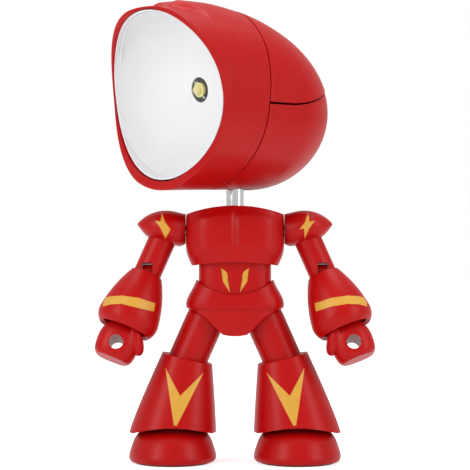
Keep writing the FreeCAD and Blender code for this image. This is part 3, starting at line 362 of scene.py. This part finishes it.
HEAD_PLACE = Matrix.Translation(NECK) @ Matrix.Rotation(-math.pi / 2 - HEAD_YAW, 4, "Z")


def clamp(value, low=0.0, high=1.0):
    return max(low, min(high, value))


def soft_step(value):
    value = clamp(value)
    return value * value * (3 - 2 * value)


def in_head(forward, near, height):
    """A place in the lamp's frame, from millimetres in the head's frame."""
    return HEAD_PLACE @ (Vector((forward, near, height)) * MM)


def head_half(forward):
    """Half the head's width, which closes to nothing at the tail."""
    behind = -HEAD_WIDE_BACK - forward
    if behind > 0:
        share = behind / (HEAD_TAIL - HEAD_WIDE_BACK)
        return HEAD_HALF * max(0.0, 1 - share ** 1.92) ** (1 / 1.92)
    return HEAD_HALF + HEAD_FLARE * (-behind / (HEAD_FRONT + HEAD_WIDE_BACK)) ** 2


def head_top(forward):
    """The head's height above its middle, without the brow."""
    behind = HEAD_TOP_START - forward
    if behind <= 0:
        return HEAD_TOP
    return HEAD_TOP * max(0.0, 1 - (behind / (HEAD_TAIL + HEAD_TOP_START)) ** 1.78) ** (1 / 1.78)


def brow(forward, near):
    """The brow: a raised panel on top whose front edge curves down each side."""
    aside = abs(near)
    edge = 54.5 - 12.5 * soft_step((aside - 6.0) / 15.0)
    tall = 3.5 * math.exp(-(aside / 19.0) ** 4) + 1.0 * soft_step((30.0 - aside) / 8.0)
    width = 3.2 + 10.5 * math.exp(-(aside / 10.0) ** 2)
    front = soft_step((edge - forward) / width)
    back = soft_step((forward + 12.0) / 44.0)
    return tall * front * back


def head_spot(forward, angle, proud=0.0):
    """A point of the head's surface: angle 0 is the near side and a quarter turn is the top."""
    cosine, sine = math.cos(angle), math.sin(angle)
    half = head_half(forward)
    if sine > 0:
        power = 2.0 + 0.38 * clamp((forward + 15.0) / 45.0)
        tall = head_top(forward)
    else:
        power = 2.0
        tall = half * HEAD_BOTTOM / HEAD_HALF
    near = math.copysign(abs(cosine) ** (2 / power), cosine) * (half + proud)
    rise = math.copysign(abs(sine) ** (2 / power), sine) * (tall + proud)
    if rise > 0:
        rise += brow(forward, near) * soft_step(sine * 2.0)
    return near, HEAD_MID_Z + rise


def mouth_edge(angle):
    """How far forward the mouth's edge lies at an angle round the head."""
    forward = MOUTH_FORWARD
    for _ in range(EDGE_ROUNDS):
        height = head_spot(forward, angle)[1] - MOUTH_Z
        height = clamp(height, -MOUTH_RADIUS, MOUTH_RADIUS)
        dip = MOUTH_DIP * (1 - (height / MOUTH_RADIUS) ** 2)
        forward = MOUTH_FORWARD + height * math.tan(MOUTH_LEAN) - dip
    return forward


def seam_edge(angle, gap):
    """How far forward the seam round the head lies at an angle."""
    forward = SEAM_FORWARD
    for _ in range(EDGE_ROUNDS):
        forward = SEAM_FORWARD + gap + (SEAM_Z - head_spot(forward, angle)[1]) * math.tan(SEAM_LEAN)
    return forward


def grid_piece(columns, rows, place, closed=False):
    """A square grid whose corners are moved onto a shape given by place(across, along)."""
    shape = bmesh.new()
    bmesh.ops.create_grid(shape, x_segments=columns, y_segments=rows, size=0.5)
    for corner in shape.verts:
        corner.co = place(corner.co.x + 0.5, corner.co.y + 0.5)
    if closed:
        bmesh.ops.remove_doubles(shape, verts=shape.verts[:], dist=0.01 * MM)
    return shape


def facing_out(shape, towards):
    """Turns a skin's faces away from a place inside it."""
    bmesh.ops.recalc_face_normals(shape, faces=shape.faces[:])
    lean = sum((face.normal.dot(face.calc_center_median() - towards) for face in shape.faces))
    if lean < 0:
        bmesh.ops.reverse_faces(shape, faces=shape.faces[:])
    return shape


def wall_in(made, thickness, rim_round=0.0):
    """Gives a skin its wall towards the inside, and rounds the wall's rims."""
    wall = made.modifiers.new("wall", "SOLIDIFY")
    wall.thickness = thickness
    wall.offset = -1.0
    wall.use_even_offset = False
    if rim_round:
        rim = made.modifiers.new("rim", "BEVEL")
        rim.width = rim_round
        rim.segments = 2
        rim.limit_method = "ANGLE"
        rim.angle_limit = math.radians(50)


FRONT_ROWS = 60
SKIN_SHARE = 0.80
LIP_SHARE = 0.14
INNER_SHARE = 0.06
INNER_DEPTH = 9.0
LIP_BULGE = 0.3
SEAM_SINK = 0.35
SEAM_ROUND = 0.9


def front_place(across, along):
    """Front shell: from the seam to the mouth, over a rounded lip and a little way in."""
    angle = across * 2 * math.pi
    seam = seam_edge(angle, SEAM_GAP)
    mouth = mouth_edge(angle)
    if along <= SKIN_SHARE:
        share = along / SKIN_SHARE
        forward = seam + (mouth - seam) * share
        near, height = head_spot(forward, angle)
        sink = SEAM_SINK * (1 - soft_step((forward - seam) / SEAM_ROUND))
        near -= math.cos(angle) * sink
        height -= math.sin(angle) * sink
        return in_head(forward, near, height)
    near, height = head_spot(mouth, angle)
    round_share = clamp((along - SKIN_SHARE) / LIP_SHARE)
    inward = clamp((along - SKIN_SHARE - LIP_SHARE) / INNER_SHARE)
    turn = math.atan2(height - MOUTH_Z, near)
    inner_near = MOUTH_RADIUS * math.cos(turn)
    inner_height = MOUTH_Z + MOUTH_RADIUS * math.sin(turn)
    mix = 1 - math.cos(round_share * math.pi / 2)
    bulge = LIP_BULGE * math.sin(round_share * math.pi)
    here_near = near + (inner_near - near) * mix
    here_height = height + (inner_height - height) * mix
    return in_head(mouth + bulge - inward * INNER_DEPTH, here_near, here_height)


def crown_line(forward):
    """Height of the parting line round the back of the head."""
    back = clamp(-forward / 52.0)
    return CROWN_Z + 18.0 * back ** 1.8


def crown_angle(forward):
    """The angle at which the parting line meets the surface."""
    top = max(head_top(forward), 0.01)
    rise = clamp((crown_line(forward) - HEAD_MID_Z) / top, 0.0, 1.0)
    power = 2.0 + 0.38 * clamp((forward + 15.0) / 45.0)
    return math.asin(clamp(rise ** (power / 2)))


CROWN_PROUD = 0.45
CROWN_GAP = 0.018


def rear_forward(along, angle):
    """Forward place on the rear shells, from the seam to just short of the tail's point."""
    seam = seam_edge(angle, 0.0)
    return seam + (-HEAD_TAIL * 0.9995 - seam) * math.sin(along * math.pi / 2)


def crown_place(across, along):
    """Crown panel: over the top from one parting line to the other."""
    low = crown_angle(rear_forward(along, 0.2)) + CROWN_GAP
    angle = low + (math.pi - 2 * low) * across
    forward = rear_forward(along, angle)
    low = crown_angle(forward) + CROWN_GAP
    angle = low + (math.pi - 2 * low) * across
    proud = CROWN_PROUD * soft_step((14.0 - forward) / 22.0)
    near, height = head_spot(forward, angle, proud)
    return in_head(forward, near, height)


def lower_place(across, along):
    """Rear bowl: under the bottom from one parting line to the other."""
    low = crown_angle(rear_forward(along, 0.2))
    angle = math.pi - low + (math.pi + 2 * low) * across
    forward = rear_forward(along, angle)
    low = crown_angle(forward)
    angle = math.pi - low + (math.pi + 2 * low) * across
    near, height = head_spot(forward, angle)
    return in_head(forward, near, height)


HEAD_CENTRE = in_head(5, 0, HEAD_MID_Z)
front_skin = grid_piece(192, FRONT_ROWS, front_place, closed=True)
facing_out(front_skin, HEAD_CENTRE)
front_piece = piece("front_shroud", front_skin, RED, "head", 45.0)
wall_in(front_piece, HEAD_WALL * MM * 0.5)
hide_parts("head_front_shell")

crown_skin = grid_piece(120, 72, crown_place)
bmesh.ops.remove_doubles(crown_skin, verts=crown_skin.verts[:], dist=0.005 * MM)
facing_out(crown_skin, HEAD_CENTRE)
crown_piece = piece("crown_panel", crown_skin, RED, "head", 45.0)
wall_in(crown_piece, HEAD_WALL * MM, 0.25 * MM)
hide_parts("head_crown")

SLOT_FRONT = 9.0
SLOT_BACK = -9.0
SLOT_HALF = 5.4
lower_skin = grid_piece(144, 72, lower_place)
bmesh.ops.remove_doubles(lower_skin, verts=lower_skin.verts[:], dist=0.005 * MM)
forward_way = HEAD_PLACE.to_3x3() @ Vector((1, 0, 0))
near_way = HEAD_PLACE.to_3x3() @ Vector((0, 1, 0))
for forward, near, way in ((SLOT_FRONT, 0, forward_way), (SLOT_BACK, 0, forward_way),
                           (0, SLOT_HALF, near_way), (0, -SLOT_HALF, near_way)):
    everything = lower_skin.verts[:] + lower_skin.edges[:] + lower_skin.faces[:]
    bmesh.ops.bisect_plane(lower_skin, geom=everything, dist=0.001 * MM,
                           plane_co=in_head(forward, near, HEAD_MID_Z), plane_no=way)
to_head = HEAD_PLACE.inverted()


def in_slot(face):
    """Whether a face of the rear bowl lies in the neck's slot underneath."""
    middle = (to_head @ face.calc_center_median()) / MM
    return SLOT_BACK < middle.x < SLOT_FRONT and abs(middle.y) < SLOT_HALF and middle.z < HEAD_MID_Z


slot_faces = [face for face in lower_skin.faces if in_slot(face)]
bmesh.ops.delete(lower_skin, geom=slot_faces, context="FACES")
facing_out(lower_skin, HEAD_CENTRE)
lower_piece = piece("rear_bowl", lower_skin, RED, "head", 45.0)
wall_in(lower_piece, HEAD_WALL * MM, 0.25 * MM)
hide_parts("head_rear_shell")


# Chest plates, thumbs, the bead inside the mouth and the lamp's own leads

CHEST_SKIN = tree_of("chest_front")
PLATE_RAISE = 0.95
PLATE_INNER = 0.12
PLATE_OUTER = 24.52
CHEST_HALF = 26.0
CHEST_LOW_HALF = 22.5
CHEST_LOW_Z = 103.2
CHEST_FLARE = 11.1
PLATE_SINK = 0.25 * MM


def on_chest(x, z):
    """The place on the chest's front straight behind a point of the front view."""
    spot = CHEST_SKIN.ray_cast(Vector((x, FRONT_PLANE_Y, z)), FRONTWARD)[0]
    return spot or CHEST_SKIN.find_nearest(Vector((x, -14 * MM, z)))[0]


def chest_plate(name, side):
    """One moulded chest muscle: a raised field whose edges run down into the chest."""
    def place(across, along):
        x = PLATE_INNER + (PLATE_OUTER - PLATE_INNER) * across
        low = 111.6 - 5.0 * (x / 18.0) ** 1.5
        high = 134.0 - 5.2 * (x / CHEST_HALF) ** 2
        z = low + (high - low) * along
        sides = soft_step((x - PLATE_INNER) / 2.6 + 0.12) * soft_step((PLATE_OUTER - x) / 8.0)
        ends = soft_step((z - low) / 4.5) * soft_step((high - z) / 4.0)
        raised = PLATE_RAISE * sides * ends
        flare = math.sin(clamp((z - CHEST_LOW_Z) / CHEST_FLARE) * math.pi / 2)
        half = CHEST_LOW_HALF + (CHEST_HALF - CHEST_LOW_HALF) * flare
        seat = on_chest(side * x * half / CHEST_HALF * MM, z * MM)
        return seat + FRONTWARD * (PLATE_SINK * 0.3 - raised * MM)
    skin = grid_piece(72, 72, place)
    facing_out(skin, Vector((0, 0, 118 * MM)))
    grown = bmesh.ops.extrude_face_region(skin, geom=skin.faces[:])
    sunk = [item for item in grown["geom"] if isinstance(item, bmesh.types.BMVert)]
    for corner in sunk:
        corner.co = on_chest(corner.co.x, corner.co.z) + FRONTWARD * PLATE_SINK
    bmesh.ops.recalc_face_normals(skin, faces=skin.faces[:])
    return piece(name, skin, RED, "torso", 50.0)


THUMB_HALF = Vector((3.6, 5.4, 8.4))
THUMB_SQUARE = 0.82
THUMB_LEAN = math.radians(12)


def thumb(name, side, body):
    """The thumb folded along the inner front edge of a fist."""
    shape = bmesh.new()
    bmesh.ops.create_uvsphere(shape, u_segments=40, v_segments=24, radius=1.0)
    lean = Matrix.Rotation(side * THUMB_LEAN, 3, "Y")
    middle = Vector((side * 51.6, -9.4, 65.2)) * MM
    for corner in shape.verts:
        local = Vector([math.copysign(abs(value) ** THUMB_SQUARE, value) * half * MM
                        for value, half in zip(corner.co, THUMB_HALF)])
        corner.co = middle + lean @ local
    return piece(name, shape, RED, body, 50.0)


BEAD_RADIUS = 0.42
BEAD_BACK = 4.2
BEAD_INSIDE = 1.15


def bead_place(across, along):
    """A round bead that follows the mouth's edge a little way inside it."""
    angle = across * 2 * math.pi
    mouth = mouth_edge(angle)
    near, height = head_spot(mouth, angle)
    turn = math.atan2(height - MOUTH_Z, near)
    swing = along * 2 * math.pi
    radius = MOUTH_RADIUS - BEAD_INSIDE + BEAD_RADIUS * math.cos(swing)
    forward = mouth - BEAD_BACK + BEAD_RADIUS * math.sin(swing)
    return in_head(forward, radius * math.cos(turn), MOUTH_Z + radius * math.sin(turn))


chest_plate("right_chest_plate", -1)
chest_plate("left_chest_plate", 1)
thumb("right_thumb", -1, "right_hand")
thumb("left_thumb", 1, "left_hand")
bead = grid_piece(192, 12, bead_place, closed=True)
bmesh.ops.recalc_face_normals(bead, faces=bead.faces[:])
piece("reflector_bead", bead, WHITE, "head", 50.0)

LAMP_OUT = Vector((math.cos(MOUTH_LEAN), 0, -math.sin(MOUTH_LEAN)))
LAMP_UP = Vector((math.sin(MOUTH_LEAN), 0, math.cos(MOUTH_LEAN)))
LAMP_DEPTH = 32.4
LEAD_OUT = 4.6
LEAD_SIZE = Vector((1.6, 1.1, 1.1))


def lamp_lead(name, turn):
    """A flat metal lead beside the lamp's yellow dome."""
    shape = bmesh.new()
    bmesh.ops.create_cube(shape, size=1.0)
    middle = Vector((MOUTH_FORWARD, 0, MOUTH_Z)) - LAMP_OUT * (LAMP_DEPTH - 0.55)
    along = Vector((0, 1, 0)) * math.cos(turn) + LAMP_UP * math.sin(turn)
    beside = Vector((0, 1, 0)) * -math.sin(turn) + LAMP_UP * math.cos(turn)
    for corner in shape.verts:
        where = middle + along * (LEAD_OUT + corner.co.x * LEAD_SIZE.x)
        where += beside * (corner.co.y * LEAD_SIZE.y) + LAMP_OUT * (corner.co.z * LEAD_SIZE.z)
        corner.co = in_head(*where)
    bmesh.ops.bevel(shape, geom=shape.edges[:], offset=0.15 * MM, affect="EDGES", segments=2,
                    profile=0.5, material=-1)
    bmesh.ops.recalc_face_normals(shape, faces=shape.faces[:])
    return piece(name, shape, STEEL, "head", 50.0)


lamp_lead("lamp_lead_upper", math.radians(125))
lamp_lead("lamp_lead_lower", math.radians(305))


# Floor, backdrop and light

floor_shape = bmesh.new()
bmesh.ops.create_grid(floor_shape, x_segments=1, y_segments=1, size=4.0)
floor_paint = bpy.data.materials.new("pale_floor")
floor_paint.use_nodes = True
floor_tree = floor_paint.node_tree
floor_shader = floor_tree.nodes["Principled BSDF"]
floor_shader.inputs["Base Color"].default_value = tone(0.90, 0.90, 0.90)
floor_shader.inputs["Roughness"].default_value = 0.9
floor_shader.inputs["Emission Strength"].default_value = 1.0
floor_rays = floor_tree.nodes.new("ShaderNodeLightPath")
floor_seen = Shade(floor_tree, floor_rays.outputs["Is Camera Ray"])
floor_mirrored = Shade(floor_tree, floor_rays.outputs["Is Glossy Ray"])
floor_through = Shade(floor_tree, floor_rays.outputs["Is Transmission Ray"])
FLOOR_LIFT = 0.62
floor_level = floor_seen.math("MAXIMUM", floor_through).math("MAXIMUM", floor_mirrored * 0.5)
floor_glow = floor_level * FLOOR_LIFT
floor_tree.links.new(floor_glow.socket, floor_shader.inputs["Emission Color"])
mesh_object("floor", floor_shape, floor_paint)

world = bpy.data.worlds.new("white_room")
bpy.context.scene.world = world
world.use_nodes = True
world_tree = world.node_tree
sky = world_tree.nodes["Background"]
rays = world_tree.nodes.new("ShaderNodeLightPath")
seen = Shade(world_tree, rays.outputs["Is Camera Ray"])
mirrored_ray = Shade(world_tree, rays.outputs["Is Glossy Ray"])
through = Shade(world_tree, rays.outputs["Is Transmission Ray"])
level = seen.math("MAXIMUM", through).math("MAXIMUM", mirrored_ray * 0.35)
ROOM_LEVEL = 0.42
strength = level * (1.0 - ROOM_LEVEL) + ROOM_LEVEL
sky.inputs["Color"].default_value = tone(1, 1, 1)
world_tree.links.new(strength.socket, sky.inputs["Strength"])


def soft_lamp(name, place, target, wide, tall, power):
    """A rectangular softbox that looks at a target."""
    lamp = bpy.data.lights.new(name, "AREA")
    lamp.shape = "RECTANGLE"
    lamp.size = wide
    lamp.size_y = tall
    lamp.energy = power
    made = bpy.data.objects.new(name, lamp)
    bpy.context.scene.collection.objects.link(made)
    made.location = place
    made.rotation_euler = (Vector(target) - Vector(place)).to_track_quat("-Z", "Y").to_euler()
    return made


soft_lamp("left_softbox", (-0.75, -0.70, 0.55), (0, 0, 0.13), 0.4, 0.8, 5.2)
soft_lamp("right_softbox", (0.85, -0.55, 0.50), (0, 0, 0.12), 0.4, 0.8, 4.0)
soft_lamp("top_softbox", (0.0, 0.05, 1.05), (0, 0, 0.1), 0.8, 0.6, 5.0)

# Camera at the photograph's place

camera_data = bpy.data.cameras.new("photo_camera")
camera_data.sensor_width = SENSOR_MM
camera_data.lens = SENSOR_MM * CAMERA_AWAY / (PHOTO_PIXELS * METRES_PER_PIXEL)
camera = bpy.data.objects.new("photo_camera", camera_data)
bpy.context.scene.collection.objects.link(camera)
camera.location = (0, NECK.y - CAMERA_AWAY, CAMERA_HIGH)
camera.rotation_euler = (math.radians(90), 0, 0)
bpy.context.scene.camera = camera
bpy.context.scene.view_settings.view_transform = "Standard"
